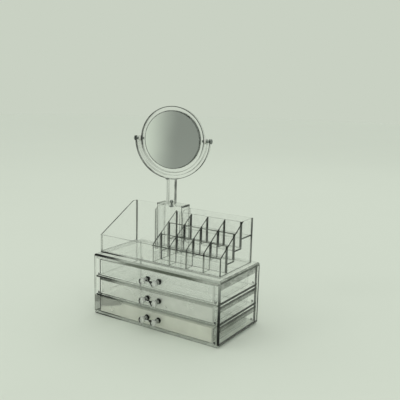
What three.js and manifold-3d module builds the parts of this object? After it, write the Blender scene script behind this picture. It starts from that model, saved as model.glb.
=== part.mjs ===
import * as THREE from 'three';
import { mergeVertices } from 'three/addons/utils/BufferGeometryUtils.js';
import Module from 'manifold-3d';

// A clear vanity organizer: a case with three drawers, an open tray that stands on it,
// and a round double-sided mirror on a lift-out base in the tray.
// Sizes are in millimetres. X runs to the right, Y to the back and Z up.
// The origin is the middle of the case's underside.

// Clearances
const cementGap = 0.2; // seam between two sheets that are cemented together
const restGap = 0.3; // under a piece that only stands on another
const drawerGap = 0.6; // beside and above a drawer
const pocketGap = 0.4; // round the mirror base in its pocket
const bearingGap = 0.3; // between two pieces that turn on each other
const seatGap = 0.15; // round a screw or pin in the piece that it is fixed in
const overrun = 2; // how far a cutter reaches past what it cuts

// Case
const caseWidth = 240;
const caseDepth = 120;
const caseHeight = 102;
const caseSheet = 4;
const shelfSheet = 3;
const sideColumn = 7; // clear column between a side wall and the drawers
const frontRailHeight = 4;
const frontRailDepth = 3;
const guideWidth = 4;
const guideHeight = 4;
const guideSetback = 1; // from the case's front edge

// Drawers
const drawerLevels = ['lower', 'middle', 'upper'];
const drawerSheet = 2;
const drawerFrontSheet = 3;
const drawerFrontInset = 0.4; // behind the case's front edge
const drawerBackSpace = 12; // left free behind a closed drawer
const drawerSideDrop = 3.5; // how far the sides end below the front's top edge

// Drawer handle: two posts with a bar between them
const postSpacing = 22;
const postLength = 16;
const postRadius = 4.6;
const postWaistRadius = 3.9;
const postHeadRadius = 5.2;
const postHeadLength = 5;
const postDome = 1.4; // rounding at the post's front end
const barRadius = 2;
const barReach = 10.5; // from the drawer's front to the bar's axis
const screwRadius = 1.5;
const screwReach = 8; // how far a screw goes into its post
const screwHeadRadius = 3;
const screwHeadHeight = 1.8;

// Tray
const traySideMargin = 6; // from the case's edges to the tray's
const trayFrontMargin = 9;
const trayBackMargin = 18;
const trayFloorSheet = 2.5;
const traySheet = 2;
const lipHeight = 30;
const trayHeight = 74;
const leftTopLength = 11; // level stretch on the left end, behind its slope

// Lipstick rack, at the tray's right
const rackColumns = 4;
const rackRows = 3;
const cellWidth = 28.5;
const stepRise = 15; // from one row's floor to the next

// Mirror base and its pocket
const mirrorX = -27; // the mirror's middle, from the case's
const baseWidth = 50;
const baseDepth = 22;
const baseSheet = 2;
const baseTopSheet = 3;
const baseRise = 6.5; // how far the base stands above the tray's back
const pocketLipWidth = 6;
const lipSpace = 2.7; // between the pocket's lips and the rack
const pocketChamfer = 4;

// Swivel and stem
const swivelTurn = THREE.MathUtils.degToRad(15);
const stemSetback = 6; // from the base's front to the swivel's axis
const stemWidth = 14;
const stemDepth = 10;
const stemLength = 41; // from the base to the yoke's lowest point
const stemFlare = 3; // how much the stem widens at each side under the yoke
const pegRadius = 1.6;
const pegBallRadius = 3;
const pegNeck = 3.4; // from the base's top to the ball's middle
const pegFlangeRadius = 4;
const pegFlangeThickness = 1.5;

// Mirror and yoke
const ringRadius = 53.5;
const ringBand = 7;
const ringDepth = 8;
const ringChamfer = 1;
const ringLedge = 3; // web behind the glasses
const glassThickness = 2.5;
const glassBevel = 0.8;
const yokeSpace = 3.5; // between the ring and the yoke
const yokeBand = 6.5;
const yokeDepth = 8;
const earRise = 4; // how far the yoke's ends reach above the pivots
const pinRadius = 2;
const pinSeat = 4; // how deep a pin sits in the ring
const pinHeadRadius = 4;
const pinHeadThickness = 2.2;
const bushRadius = 4.5;

// Facets of the round pieces
const ringFacets = 72;
const yokeFacets = 44;
const saddleFacets = 88;
const smallFacets = 24;
const cornerFacets = 6;
const endFacets = 12; // on a half round
const holeFacets = 20;

// Places that several pieces share
const bayWidth = caseWidth - 2 * caseSheet;
const bayHeight = (caseHeight - 2 * caseSheet - frontRailHeight
  - (drawerLevels.length - 1) * shelfSheet) / drawerLevels.length;
const backInside = caseDepth / 2 - caseSheet;
const drawerWidth = bayWidth - 2 * sideColumn;
const drawerDepth = backInside - drawerBackSpace - (drawerFrontInset - caseDepth / 2);
const drawerFrontHeight = bayHeight - restGap - drawerGap;
const trayWidth = caseWidth - 2 * traySideMargin;
const trayDepth = caseDepth - trayFrontMargin - trayBackMargin;
const endInside = trayWidth / 2 - traySheet;
const backWallFront = trayDepth - traySheet;
const floorTop = trayFloorSheet;
const baseFront = backWallFront - pocketGap - baseDepth;
const lipBack = baseFront - pocketGap;
const rackBack = lipBack - traySheet - lipSpace;
const cellDepth = (rackBack - traySheet) / rackRows - traySheet;
const rackSideRight = endInside - rackColumns * cellWidth - (rackColumns - 1) * traySheet;
const pocketInside = baseWidth / 2 + pocketGap;
const glassRadius = ringRadius - ringBand;
const yokeInner = ringRadius + yokeSpace;
const yokeOuter = yokeInner + yokeBand;

const wasm = await Module();
wasm.setup();

// Geometry helpers

function block([x0, x1], [y0, y1], [z0, z1]) {
  const box = new THREE.BoxGeometry(x1 - x0, y1 - y0, z1 - z0);
  return box.translate((x0 + x1) / 2, (y0 + y1) / 2, (z0 + z1) / 2);
}

function extrude(points, depth) {
  const shape = new THREE.Shape(points.map(([a, b]) => new THREE.Vector2(a, b)));
  return new THREE.ExtrudeGeometry(shape, { depth, bevelEnabled: false });
}

// A plate with its outline in Y and Z, between two places along X.
function plateAcrossX(points, [x0, x1]) {
  const upright = extrude(points, x1 - x0).rotateX(Math.PI / 2).rotateZ(Math.PI / 2);
  return upright.translate(x0, 0, 0);
}

// A plate with its outline in X and Z, between two places along Y.
function plateAcrossY(points, [y0, y1]) {
  return extrude(points, y1 - y0).rotateX(Math.PI / 2).translate(0, y1, 0);
}

function arc([a, b], radius, from, to, facets) {
  return Array.from({ length: facets + 1 }, (_, i) => {
    const angle = from + ((to - from) * i) / facets;
    return [a + radius * Math.cos(angle), b + radius * Math.sin(angle)];
  });
}

// A turned piece about Z, from a profile of [radius, height] that runs upwards.
function turned(profile, facets) {
  const points = profile.map(([radius, height]) => new THREE.Vector2(radius, height));
  return new THREE.LatheGeometry(points, facets).rotateX(Math.PI / 2);
}

function rod(radius, [low, high]) {
  return turned([[0, low], [radius, low], [radius, high], [0, high]], holeFacets);
}

function tube(inner, outer, [low, high]) {
  const profile = [[inner, low], [outer, low], [outer, high], [inner, high], [inner, low]];
  return turned(profile, smallFacets);
}

// The three turns that lay a piece made about Z along another axis.
const alongX = (geometry) => geometry.rotateY(Math.PI / 2);
const alongMinusX = (geometry) => geometry.rotateY(-Math.PI / 2);
const alongMinusY = (geometry) => geometry.rotateX(Math.PI / 2);

function toSolid(geometry) {
  const bare = geometry.clone();
  bare.deleteAttribute('normal');
  bare.deleteAttribute('uv');
  const merged = mergeVertices(bare);
  return new wasm.Manifold(new wasm.Mesh({
    numProp: 3,
    vertProperties: new Float32Array(merged.attributes.position.array),
    triVerts: new Uint32Array(merged.index.array),
  }));
}

function toGeometry(solid) {
  const mesh = solid.getMesh();
  const geometry = new THREE.BufferGeometry();
  geometry.setAttribute('position', new THREE.BufferAttribute(mesh.vertProperties, mesh.numProp));
  geometry.setIndex(new THREE.BufferAttribute(mesh.triVerts, 1));
  geometry.computeVertexNormals();
  return geometry;
}

function join(...geometries) {
  return toGeometry(geometries.map(toSolid).reduce((all, next) => all.add(next)));
}

function cut(geometry, ...cutters) {
  return toGeometry(cutters.map(toSolid).reduce((rest, next) => rest.subtract(next), toSolid(geometry)));
}

// Finishes

function clearPlastic(color) {
  return new THREE.MeshStandardMaterial({
    color, roughness: 0.06, metalness: 0, transparent: true, opacity: 0.35,
  });
}

const caseClear = () => clearPlastic(0xd3e2d6);
const trayClear = () => clearPlastic(0xdce8df);
const handleClear = () => clearPlastic(0xc2d0c8);
const mirrorClear = () => clearPlastic(0xd8e4dc);
const drawerClear = {
  lower: () => clearPlastic(0xa9b5a4),
  middle: () => clearPlastic(0xbcc9bd),
  upper: () => clearPlastic(0xcad6cc),
};
const mirrorFace = () => new THREE.MeshStandardMaterial({ color: 0xb9c6c2, roughness: 0.02, metalness: 1 });
const darkSteel = () => new THREE.MeshStandardMaterial({ color: 0x5a5f60, roughness: 0.25, metalness: 1 });
const whiteNylon = () => new THREE.MeshStandardMaterial({ color: 0xc9d2cc, roughness: 0.4, metalness: 0 });

function piece(name, geometry, finish) {
  const mesh = new THREE.Mesh(geometry, finish());
  mesh.name = name;
  return mesh;
}

function assembly(pieces, [x, y, z] = [0, 0, 0], turn = 0) {
  const group = new THREE.Group();
  group.position.set(x, y, z);
  group.rotation.z = turn;
  group.add(...pieces);
  return group;
}

// Case

const bayFloor = (level) => caseSheet + level * (bayHeight + shelfSheet);

// The top and bottom sheets, with their left and right outer edges rounded.
function roundedSheetOutline(faceZ, edgeZ) {
  const side = caseWidth / 2 - caseSheet;
  const [start, mid, end] = edgeZ > faceZ ? [0, Math.PI / 2, Math.PI] : [0, -Math.PI / 2, -Math.PI];
  return [
    ...arc([side, faceZ], caseSheet, start, mid, cornerFacets),
    ...arc([-side, faceZ], caseSheet, mid, end, cornerFacets),
  ];
}

// The two low rails that keep a drawer straight.
function makeGuides(name, level) {
  const near = drawerWidth / 2 + drawerGap;
  const far = near + guideWidth;
  const foot = bayFloor(level) + cementGap;
  const along = [guideSetback - caseDepth / 2, backInside - cementGap];
  const guide = (across) => block(across, along, [foot, foot + guideHeight]);
  return [
    piece(`${name}_left_guide`, guide([-far, -near]), caseClear),
    piece(`${name}_right_guide`, guide([near, far]), caseClear),
  ];
}

function makeCase() {
  const depth = [-caseDepth / 2, caseDepth / 2];
  const between = [-bayWidth / 2 + cementGap, bayWidth / 2 - cementGap];
  const wallHeight = [caseSheet + cementGap, caseHeight - caseSheet - cementGap];
  const topOutline = roundedSheetOutline(caseHeight - caseSheet, caseHeight);
  const bottomOutline = roundedSheetOutline(caseSheet, 0).reverse();
  const wall = (side) => block(
    side > 0 ? [bayWidth / 2, caseWidth / 2] : [-caseWidth / 2, -bayWidth / 2], depth, wallHeight,
  );
  const shelf = (level) => block(
    between,
    [-caseDepth / 2, backInside - cementGap],
    [bayFloor(level) - shelfSheet, bayFloor(level)],
  );
  const railTop = caseHeight - caseSheet - cementGap;
  const frontRail = block(
    between, [-caseDepth / 2, frontRailDepth - caseDepth / 2],
    [caseHeight - caseSheet - frontRailHeight, railTop],
  );
  return assembly([
    piece('case_top', plateAcrossY(topOutline, depth), caseClear),
    piece('case_bottom', plateAcrossY(bottomOutline, depth), caseClear),
    piece('case_left', wall(-1), caseClear),
    piece('case_right', wall(1), caseClear),
    piece('case_back', block(between, [backInside, caseDepth / 2], wallHeight), caseClear),
    piece('case_front_rail', frontRail, caseClear),
    piece('lower_shelf', shelf(1), caseClear),
    piece('upper_shelf', shelf(2), caseClear),
    ...drawerLevels.flatMap(makeGuides),
  ]);
}

// Drawers. A drawer's own origin is the middle of its front's lower edge.

const handleHeight = drawerFrontHeight / 2;
const postPlaces = [-postSpacing / 2, postSpacing / 2];

function makeHandle() {
  const waistStart = barReach - barRadius;
  const headStart = postLength - postHeadLength;
  const profile = [
    [0, cementGap],
    [postRadius, cementGap],
    [postWaistRadius, waistStart - barRadius],
    [postWaistRadius, headStart],
    [postHeadRadius, headStart + postDome],
    ...arc([postHeadRadius - postDome, postLength - postDome], postDome, 0, Math.PI / 2, cornerFacets),
    [0, postLength],
  ];
  const post = (x) => alongMinusY(turned(profile, smallFacets)).translate(x, 0, handleHeight);
  const bar = alongX(rod(barRadius, postPlaces)).translate(0, -barReach, handleHeight);
  const hole = (x) => alongMinusY(rod(screwRadius + seatGap, [-overrun, screwReach + restGap]))
    .translate(x, 0, handleHeight);
  return cut(join(...postPlaces.map(post), bar), ...postPlaces.map(hole));
}

function makeHandleScrew(x) {
  const headFace = drawerFrontSheet + restGap;
  return alongMinusY(turned([
    [0, -headFace - screwHeadHeight],
    [screwHeadRadius - screwHeadHeight / 2, -headFace - screwHeadHeight],
    [screwHeadRadius, -headFace - screwHeadHeight / 2],
    [screwHeadRadius, -headFace],
    [screwRadius, -headFace],
    [screwRadius, screwReach],
    [0, screwReach],
  ], holeFacets)).translate(x, 0, handleHeight);
}

// A moulded tub: a tall front, with lower sides and back round a flat floor.
function makeTub() {
  const half = drawerWidth / 2;
  const sideTop = drawerFrontHeight - drawerSideDrop;
  const screwHole = (x) => alongMinusY(rod(screwRadius + seatGap, [-drawerFrontSheet - overrun, overrun]))
    .translate(x, 0, handleHeight);
  const cavity = block(
    [drawerSheet - half, half - drawerSheet],
    [drawerFrontSheet, drawerDepth - drawerSheet],
    [drawerSheet, drawerFrontHeight],
  );
  const body = join(
    block([-half, half], [0, drawerDepth], [0, sideTop]),
    block([-half, half], [0, drawerFrontSheet], [0, drawerFrontHeight]),
  );
  return cut(body, cavity, ...postPlaces.map(screwHole));
}

function makeDrawer(name, level) {
  const [leftPost, rightPost] = postPlaces;
  return assembly([
    piece(`${name}_drawer`, makeTub(), drawerClear[name]),
    piece(`${name}_handle`, makeHandle(), handleClear),
    piece(`${name}_handle_left_screw`, makeHandleScrew(leftPost), darkSteel),
    piece(`${name}_handle_right_screw`, makeHandleScrew(rightPost), darkSteel),
  ], [0, drawerFrontInset - caseDepth / 2, bayFloor(level) + restGap]);
}

// Tray. Its own origin is the middle of its floor's lower front edge.

const slopeHeight = (y) => lipHeight + ((trayHeight - lipHeight) * y) / rackBack;
const wallFront = (row) => traySheet + row * cellDepth + (row - 1) * traySheet;
const wallBack = (row) => wallFront(row) + traySheet;
const stepTop = (row) => floorTop + row * stepRise;
const wallTop = (row) => slopeHeight(wallFront(row));
const lapHeight = (row) => (stepTop(row) + wallTop(row)) / 2;
const dividerRight = (column) => endInside - column * cellWidth - (column - 1) * traySheet;
const standing = floorTop + cementGap;

function endOutline(slopeRun) {
  return [
    [0, standing], [trayDepth, standing], [trayDepth, trayHeight], [slopeRun, trayHeight], [0, lipHeight],
  ];
}

function makeTrayShell() {
  const between = [cementGap - endInside, endInside - cementGap];
  const floor = block([-trayWidth / 2, trayWidth / 2], [0, trayDepth], [0, floorTop]);
  return [
    piece('tray_floor', floor, trayClear),
    piece('tray_front', block(between, [0, traySheet], [standing, lipHeight]), trayClear),
    piece('tray_back', block(between, [backWallFront, trayDepth], [standing, trayHeight]), trayClear),
    piece('tray_left_end', plateAcrossX(endOutline(trayDepth - leftTopLength), [-trayWidth / 2, -endInside]), trayClear),
    piece('tray_right_end', plateAcrossX(endOutline(rackBack), [endInside, trayWidth / 2]), trayClear),
  ];
}

// A divider stands on the steps and is slotted from below over the cross walls.
function dividerOutline() {
  const front = traySheet + cementGap;
  const back = wallFront(rackRows) - cementGap;
  const points = [[front, standing]];
  for (let row = 1; row < rackRows; row += 1) {
    points.push(
      [wallFront(row) - cementGap, stepTop(row - 1) + cementGap],
      [wallFront(row) - cementGap, lapHeight(row)],
      [wallBack(row) + cementGap, lapHeight(row)],
      [wallBack(row) + cementGap, stepTop(row) + cementGap],
    );
  }
  points.push(
    [back, stepTop(rackRows - 1) + cementGap], [back, slopeHeight(back)], [front, slopeHeight(front)],
  );
  return points;
}

// A cross wall stands on the step before it, and is slotted from above where the dividers pass.
function crossWallOutline(row) {
  const foot = stepTop(row - 1) + cementGap;
  const left = rackSideRight + cementGap;
  const right = endInside - cementGap;
  const top = wallTop(row);
  const slotFoot = lapHeight(row) - cementGap;
  const points = [[left, foot], [right, foot], [right, top]];
  const slots = row < rackRows ? rackColumns - 1 : 0;
  for (let column = 1; column <= slots; column += 1) {
    const slotRight = dividerRight(column) + cementGap;
    const slotLeft = dividerRight(column) - traySheet - cementGap;
    points.push([slotRight, top], [slotRight, slotFoot], [slotLeft, slotFoot], [slotLeft, top]);
  }
  points.push([left, top]);
  return points;
}

// A step runs from behind its own wall to under the next one, and the last to the tray's back.
function makeStepFloor(row) {
  const isBackRow = row === rackRows;
  const pocketOutside = mirrorX + pocketInside + traySheet;
  const left = isBackRow ? Math.max(pocketOutside, rackSideRight) : rackSideRight;
  const back = isBackRow ? backWallFront - cementGap : wallBack(row + 1);
  return block(
    [left + cementGap, endInside - cementGap],
    [wallBack(row) + cementGap, back],
    [stepTop(row) - traySheet, stepTop(row)],
  );
}

function makeRack() {
  const rackSide = [
    [traySheet + cementGap, standing], [rackBack, standing],
    [rackBack, trayHeight], [traySheet + cementGap, slopeHeight(traySheet + cementGap)],
  ];
  const pieces = [
    piece('rack_side', plateAcrossX(rackSide, [rackSideRight - traySheet, rackSideRight]), trayClear),
  ];
  for (let column = 1; column < rackColumns; column += 1) {
    const across = [dividerRight(column) - traySheet, dividerRight(column)];
    pieces.push(piece(`rack_divider_${column}`, plateAcrossX(dividerOutline(), across), trayClear));
  }
  for (let row = 1; row <= rackRows; row += 1) {
    const along = [wallFront(row), wallBack(row)];
    pieces.push(piece(`rack_wall_${row}`, plateAcrossY(crossWallOutline(row), along), trayClear));
    pieces.push(piece(`rack_step_${row}`, makeStepFloor(row), trayClear));
  }
  return pieces;
}

// The pocket holds the mirror base against the tray's back.
function makePocket() {
  const plateFront = lipBack + cementGap;
  const sideOutline = [
    [plateFront, standing], [backWallFront - cementGap, standing],
    [backWallFront - cementGap, trayHeight], [plateFront + pocketChamfer, trayHeight],
    [plateFront, trayHeight - pocketChamfer],
  ];
  const outside = pocketInside + traySheet;
  const lipInside = outside - pocketLipWidth;
  const lip = (across) => block(
    across, [lipBack - traySheet, lipBack], [standing, trayHeight - pocketChamfer],
  );
  const left = [mirrorX - outside, mirrorX - pocketInside];
  const right = [mirrorX + pocketInside, mirrorX + outside];
  return [
    piece('pocket_left', plateAcrossX(sideOutline, left), trayClear),
    piece('pocket_right', plateAcrossX(sideOutline, right), trayClear),
    piece('pocket_left_lip', lip([mirrorX - outside, mirrorX - lipInside]), trayClear),
    piece('pocket_right_lip', lip([mirrorX + lipInside, mirrorX + outside]), trayClear),
  ];
}

// Mirror stand. Its own origin is on the swivel's axis, at the base's top.

const baseHeight = trayHeight + baseRise - floorTop - restGap;
const socketTop = pegNeck + pegBallRadius + bearingGap;
const mirrorRise = bearingGap + stemLength + yokeOuter;

function makeBase() {
  const outer = block(
    [-baseWidth / 2, baseWidth / 2], [-stemSetback, baseDepth - stemSetback], [-baseHeight, 0],
  );
  const inner = block(
    [baseSheet - baseWidth / 2, baseWidth / 2 - baseSheet],
    [baseSheet - stemSetback, baseDepth - stemSetback - baseSheet],
    [-baseHeight - overrun, -baseTopSheet],
  );
  return cut(outer, inner, rod(pegRadius + seatGap, [-baseTopSheet - overrun, overrun]));
}

function makePeg() {
  const flangeTop = -baseTopSheet - restGap;
  const neckAngle = Math.acos(pegRadius / pegBallRadius);
  return turned([
    [0, flangeTop - pegFlangeThickness],
    [pegFlangeRadius, flangeTop - pegFlangeThickness],
    [pegFlangeRadius, flangeTop],
    [pegRadius, flangeTop],
    ...arc([0, pegNeck], pegBallRadius, -neckAngle, Math.PI / 2, endFacets).slice(0, -1),
    [0, pegNeck + pegBallRadius],
  ], smallFacets);
}

function makeStem() {
  const half = stemWidth / 2;
  const wide = half + stemFlare;
  const top = bearingGap + stemLength + stemFlare;
  const neck = top - 2 * stemFlare;
  const outline = [
    [-half, bearingGap], [half, bearingGap],
    ...arc([wide, neck], stemFlare, Math.PI, Math.PI / 2, cornerFacets),
    [wide, top], [-wide, top],
    ...arc([-wide, neck], stemFlare, Math.PI / 2, 0, cornerFacets),
  ];
  const yokeSaddle = turned([
    [0, -stemDepth], [yokeOuter + cementGap, -stemDepth],
    [yokeOuter + cementGap, stemDepth], [0, stemDepth],
  ], saddleFacets).rotateX(Math.PI / 2).translate(0, 0, mirrorRise);
  const socket = rod(pegBallRadius + bearingGap, [-overrun, socketTop]);
  return cut(plateAcrossY(outline, [-stemDepth / 2, stemDepth / 2]), yokeSaddle, socket);
}

// Yoke, ring and glasses. Their own origin is the mirror's middle.

function makeYoke() {
  const middle = (yokeInner + yokeOuter) / 2;
  const lift = Math.asin(earRise / middle);
  const capRadius = yokeBand / 2;
  const [leftEnd, rightEnd] = [Math.PI - lift, 2 * Math.PI + lift];
  const capMiddle = (angle) => [middle * Math.cos(angle), middle * Math.sin(angle)];
  const cap = (angle, from) => arc(capMiddle(angle), capRadius, from, from + Math.PI, endFacets).slice(1, -1);
  const outline = [
    ...arc([0, 0], yokeOuter, leftEnd, rightEnd, yokeFacets),
    ...cap(rightEnd, lift),
    ...arc([0, 0], yokeInner, rightEnd, leftEnd, yokeFacets),
    ...cap(leftEnd, -lift),
  ];
  const reach = yokeOuter + overrun;
  const pivotHole = alongX(rod(pinRadius + bearingGap, [-reach, reach]));
  return cut(plateAcrossY(outline, [-yokeDepth / 2, yokeDepth / 2]), pivotHole);
}

function makeRing() {
  const half = ringDepth / 2;
  const seat = glassRadius + cementGap;
  const web = glassRadius - ringLedge;
  const webHalf = half - glassThickness - cementGap;
  const body = turned([
    [seat, -half], [ringRadius - ringChamfer, -half], [ringRadius, ringChamfer - half],
    [ringRadius, half - ringChamfer], [ringRadius - ringChamfer, half], [seat, half],
    [seat, webHalf], [web, webHalf], [web, -webHalf], [seat, -webHalf], [seat, -half],
  ], ringFacets).rotateX(Math.PI / 2);
  const seatHole = () => rod(pinRadius + seatGap, [ringRadius - pinSeat, ringRadius + overrun]);
  return cut(body, alongX(seatHole()), alongMinusX(seatHole()));
}

function makeGlass() {
  const outside = ringDepth / 2;
  const inside = outside - glassThickness;
  return turned([
    [0, inside], [glassRadius, inside], [glassRadius, outside - glassBevel],
    [glassRadius - glassBevel, outside], [0, outside],
  ], ringFacets);
}

function makePin() {
  const headFace = yokeOuter + bearingGap;
  const headEnd = headFace + pinHeadThickness;
  const round = pinHeadThickness / 2;
  return turned([
    [0, ringRadius - pinSeat + restGap], [pinRadius, ringRadius - pinSeat + restGap],
    [pinRadius, headFace], [pinHeadRadius, headFace],
    ...arc([pinHeadRadius - round, headEnd - round], round, 0, Math.PI / 2, cornerFacets),
    [0, headEnd],
  ], smallFacets);
}

function makeBush() {
  const along = [ringRadius + bearingGap, yokeInner - bearingGap];
  return tube(pinRadius + bearingGap, bushRadius, along);
}

function makeMirror() {
  return assembly([
    piece('yoke', makeYoke(), mirrorClear),
    piece('left_bush', alongMinusX(makeBush()), whiteNylon),
    piece('right_bush', alongX(makeBush()), whiteNylon),
    piece('mirror_ring', makeRing(), mirrorClear),
    piece('mirror_front', makeGlass().rotateX(Math.PI / 2), mirrorFace),
    piece('mirror_back', makeGlass().rotateX(-Math.PI / 2), mirrorFace),
    piece('left_pivot_pin', alongMinusX(makePin()), darkSteel),
    piece('right_pivot_pin', alongX(makePin()), darkSteel),
  ], [0, 0, mirrorRise]);
}

function makeMirrorStand() {
  const turning = assembly([piece('stem', makeStem(), mirrorClear), makeMirror()], [0, 0, 0], swivelTurn);
  return assembly([
    piece('mirror_base', makeBase(), mirrorClear),
    piece('swivel_peg', makePeg(), darkSteel),
    turning,
  ], [mirrorX, baseFront + stemSetback, trayHeight + baseRise]);
}

function makeTray() {
  return assembly(
    [...makeTrayShell(), ...makeRack(), ...makePocket(), makeMirrorStand()],
    [0, trayFrontMargin - caseDepth / 2, caseHeight + restGap],
  );
}

const organizer = new THREE.Group();
organizer.name = 'organizer';
organizer.add(makeCase(), ...drawerLevels.map(makeDrawer), makeTray());

export default organizer;
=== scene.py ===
"""A clear makeup organizer with drawers, a lift-off tray and a round mirror, dressed round its part."""

import logging
import math
from dataclasses import dataclass, field
from enum import Enum
from typing import Callable

import bmesh
import bpy
from mathutils import Matrix, Vector


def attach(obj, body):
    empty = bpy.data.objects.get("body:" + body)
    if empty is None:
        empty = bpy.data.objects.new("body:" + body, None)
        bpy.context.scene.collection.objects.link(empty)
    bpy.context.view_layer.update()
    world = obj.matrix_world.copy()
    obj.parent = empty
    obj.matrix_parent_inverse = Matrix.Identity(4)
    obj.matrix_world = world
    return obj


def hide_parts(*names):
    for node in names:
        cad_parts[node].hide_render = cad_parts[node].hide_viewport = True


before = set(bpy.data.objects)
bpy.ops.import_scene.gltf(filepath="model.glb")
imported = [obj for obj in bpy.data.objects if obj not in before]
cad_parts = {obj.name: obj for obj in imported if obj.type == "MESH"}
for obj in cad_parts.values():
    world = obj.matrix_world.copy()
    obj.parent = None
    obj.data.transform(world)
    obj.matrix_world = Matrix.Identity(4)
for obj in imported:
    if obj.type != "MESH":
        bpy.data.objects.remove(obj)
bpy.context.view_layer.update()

LOG = logging.getLogger("organizer")
MM = 0.001
Triple = tuple[float, float, float]
Span = tuple[float, float]
FaceTest = Callable[[Vector, Vector], bool]
EdgeTest = Callable[[Vector, Vector], bool]
PointTest = Callable[[Vector], bool]
Touch = tuple[int, FaceTest]
ORIGIN = Vector((0.0, 0.0, 0.0))
WHITE = (1.0, 1.0, 1.0, 1.0)
ACRYLIC_IOR = 1.49
# Where the stem stands on the mirror's base, in millimetres
SWIVEL: Triple = (-27.0, 23.6, 182.8)
# How near doubles lie, in metres, and how little a flat face bends
DOUBLES = 0.000002
FLAT = math.radians(0.5)
# The least share of its normal along an axis for a face that looks along it, and for a rounding
SQUARE = 0.9
ROUNDED = 0.2
# What the nickel plate and its darker copy, which paints shade on the screws' heads, share: their dimming,
# clouds and grain, and their uneven polish, relief and metal
STEEL_GRAIN = (0.72, (0.003, 3.0), (0.0012, 2.0, (1.0, 1.0, 0.15)))
BRUSHED = (0.15, (0.00004, 0.5), (("Metallic", 1.0),))
# How a disc that looks up is turned to look along an axis, in degrees
TURNS = {(0, 0, 1): (0, 0, 0), (0, -1, 0): (90, 0, 0), (1, 0, 0): (0, 90, 0), (-1, 0, 0): (0, -90, 0)}


def mm(*values: float) -> Vector:
    """Turns a place in millimetres into metres."""
    return Vector(values) * MM


def colour(red: float, green: float, blue: float) -> tuple[float, float, float, float]:
    """Turns a screen colour into the linear one that a shader takes.

    Args:
        red: Red on the screen, 0 to 255.
        green: Green on the screen, 0 to 255.
        blue: Blue on the screen, 0 to 255.

    Returns:
        The linear colour with an alpha of 1.
    """
    def linear(value: float) -> float:
        """Undoes the screen's curve for one channel."""
        share = value / 255
        return share / 12.92 if share <= 0.04045 else ((share + 0.055) / 1.055) ** 2.4

    return linear(red), linear(green), linear(blue), 1.0


def dimmed(shade: Triple, share: float) -> tuple[float, float, float, float]:
    """Turns a share of a screen colour into the linear one."""
    return colour(*(share * value for value in shade))


class Signal:
    """A number or a colour on its way through a node tree, with plain arithmetic."""

    def __init__(self, book: "NodeBook", socket: bpy.types.NodeSocket) -> None:
        """Keeps the socket and the book that its next node goes into."""
        self.book = book
        self.socket = socket

    def _math(self, operation: str, first: "Signal | float", second: "Signal | float") -> "Signal":
        """Adds one Math node."""
        return self.book.node("ShaderNodeMath", {"operation": operation}, {0: first, 1: second})

    def __add__(self, other: "Signal | float") -> "Signal":
        """Adds."""
        return self._math("ADD", self, other)

    def __radd__(self, other: float) -> "Signal":
        """Adds to a number."""
        return self._math("ADD", other, self)

    def __sub__(self, other: "Signal | float") -> "Signal":
        """Subtracts."""
        return self._math("SUBTRACT", self, other)

    def __rsub__(self, other: float) -> "Signal":
        """Subtracts from a number."""
        return self._math("SUBTRACT", other, self)

    def __mul__(self, other: "Signal | float") -> "Signal":
        """Multiplies."""
        return self._math("MULTIPLY", self, other)

    def __rmul__(self, other: float) -> "Signal":
        """Multiplies a number."""
        return self._math("MULTIPLY", other, self)

    def __pow__(self, other: float) -> "Signal":
        """Raises to a power."""
        return self._math("POWER", self, other)

    def held(self, low: float = 0.0, high: float = 1.0) -> "Signal":
        """Keeps the number between two others."""
        return self._math("MAXIMUM", self._math("MINIMUM", self, high), low)

    def eased(self, start: float, end: float) -> "Signal":
        """Gives 0 before start, 1 after end and a smooth rise between them."""
        settings = {"interpolation_type": "SMOOTHSTEP"}
        return self.book.node("ShaderNodeMapRange", settings, {0: self, 1: start, 2: end})


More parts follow.
